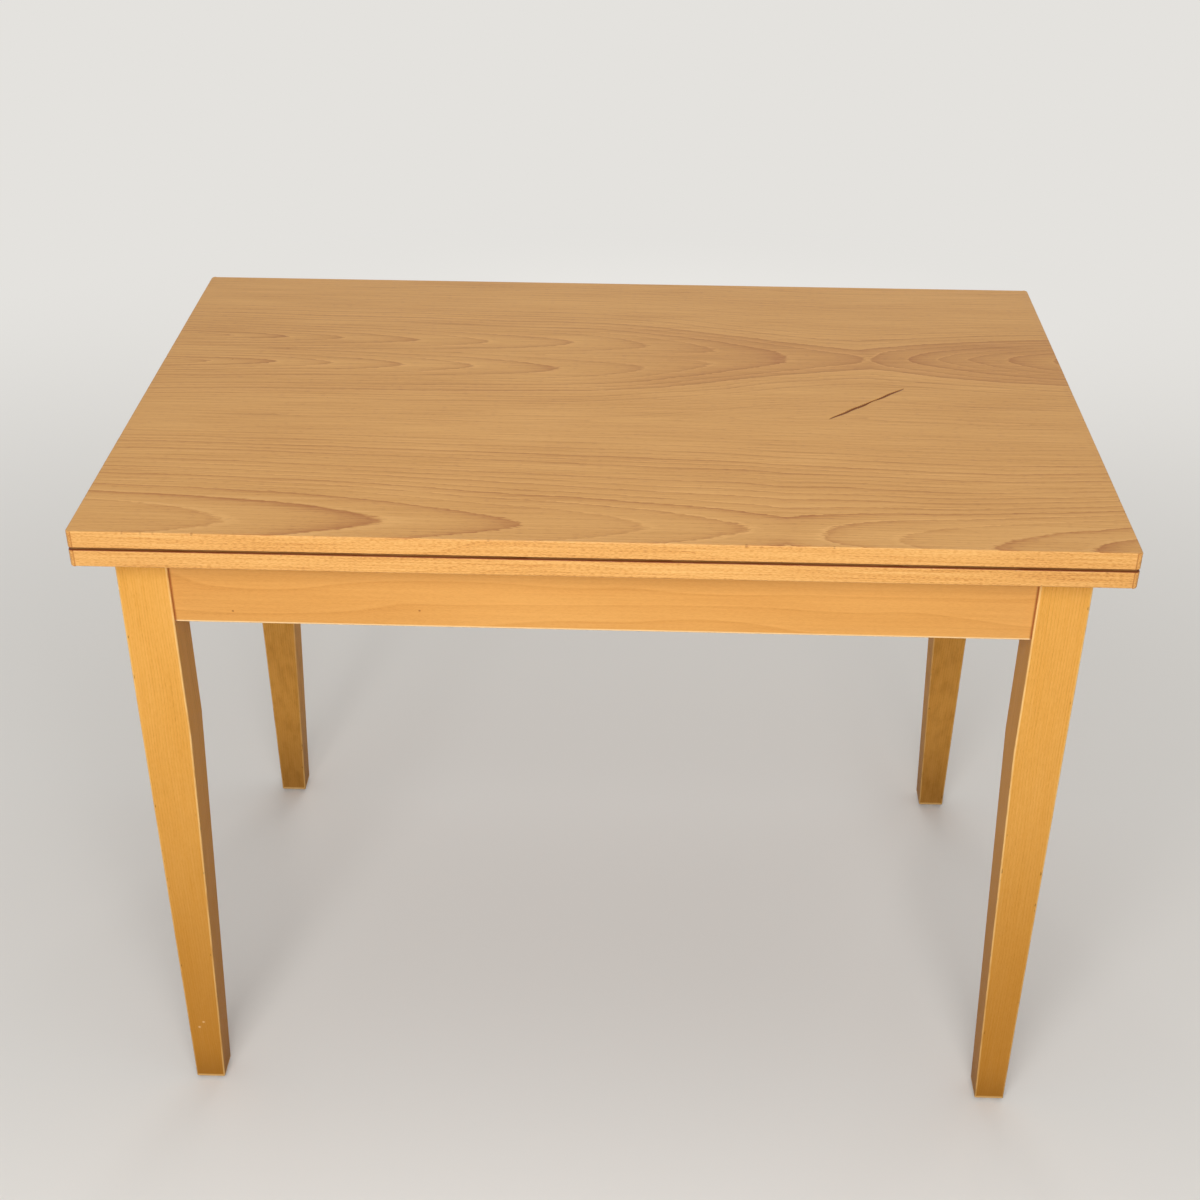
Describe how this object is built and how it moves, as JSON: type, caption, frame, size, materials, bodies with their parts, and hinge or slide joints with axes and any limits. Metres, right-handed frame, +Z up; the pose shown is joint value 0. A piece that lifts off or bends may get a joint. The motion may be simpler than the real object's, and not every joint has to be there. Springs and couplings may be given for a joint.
{
  "type": "fold-over table",
  "caption": "Beech table with a doubled top that turns on its frame and folds open to twice its size, on square legs tapered on their inner faces.",
  "frame": {"origin": "on the floor, under the middle of the closed top", "axes": "+X along the top's length, +Y towards the back edge that carries the fold hinges, +Z up"},
  "size_m": [1.01, 0.6434, 0.76],
  "materials": {
    "beech_veneer": "satin lacquer",
    "beech_lipping": "satin lacquer",
    "beech_rail": "satin lacquer",
    "beech_leg": "satin lacquer",
    "beech_block": "bare, sawn",
    "zinc_steel": "zinc plated",
    "hinge_brass": "satin",
    "nylon_glide": "moulded",
    "felt": "pressed felt",
    "clear_bumper": "soft, milky"
  },
  "bodies": {
    "frame": {"leg_front_left": "beech_leg", "leg_front_right": "beech_leg", "leg_back_left": "beech_leg", "leg_back_right": "beech_leg", "apron_front": "beech_rail", "apron_back": "beech_rail", "apron_left": "beech_rail", "apron_right": "beech_rail", "corner_block_front_left": "beech_block", "corner_block_front_right": "beech_block", "corner_block_back_left": "beech_block", "corner_block_back_right": "beech_block", "foot_glide_front_left": "nylon_glide", "foot_glide_front_right": "nylon_glide", "foot_glide_back_left": "nylon_glide", "foot_glide_back_right": "nylon_glide", "apron_dowels": "beech_block", "corner_block_screws": "zinc_steel", "hanger_bolts": "zinc_steel", "hanger_washers": "zinc_steel", "hanger_nuts": "zinc_steel", "apron_felt": "felt", "pivot_bearer": "beech_block", "bearer_screws": "zinc_steel", "pivot_bush": "nylon_glide"},
    "lower_leaf": {"lower_leaf_panel": "beech_veneer", "lower_lipping_front": "beech_lipping", "lower_lipping_back": "beech_lipping", "lower_lipping_left": "beech_lipping", "lower_lipping_right": "beech_lipping", "pivot_plate": "zinc_steel", "pivot_plate_screws": "zinc_steel", "pivot_bolt": "zinc_steel", "pivot_glide_washer": "nylon_glide", "pivot_clamp_washer": "zinc_steel", "pivot_lock_nut": "zinc_steel", "stop_peg": "beech_block", "leaf_bumpers": "clear_bumper", "hinge_lower_plate_left": "hinge_brass", "hinge_pin_left": "hinge_brass", "hinge_lower_plate_centre": "hinge_brass", "hinge_pin_centre": "hinge_brass", "hinge_lower_plate_right": "hinge_brass", "hinge_pin_right": "hinge_brass", "hinge_lower_screws": "hinge_brass"},
    "upper_leaf": {"upper_leaf_panel": "beech_veneer", "upper_lipping_front": "beech_lipping", "upper_lipping_back": "beech_lipping", "upper_lipping_left": "beech_lipping", "upper_lipping_right": "beech_lipping", "hinge_upper_plate_left": "hinge_brass", "hinge_upper_plate_centre": "hinge_brass", "hinge_upper_plate_right": "hinge_brass", "hinge_upper_screws": "hinge_brass"}
  },
  "joints": [
    {"name": "top_swivel", "type": "hinge", "parent": "frame", "child": "lower_leaf", "pos_m": [0.16, 0.16, 0.7215], "axis": [0, 0, 1], "range_deg": [0, 90]},
    {"name": "leaf_fold", "type": "hinge", "parent": "lower_leaf", "child": "upper_leaf", "pos_m": [0, 0.3204, 0.74075], "axis": [-1, 0, 0], "range_deg": [0, 180]}
  ]
}
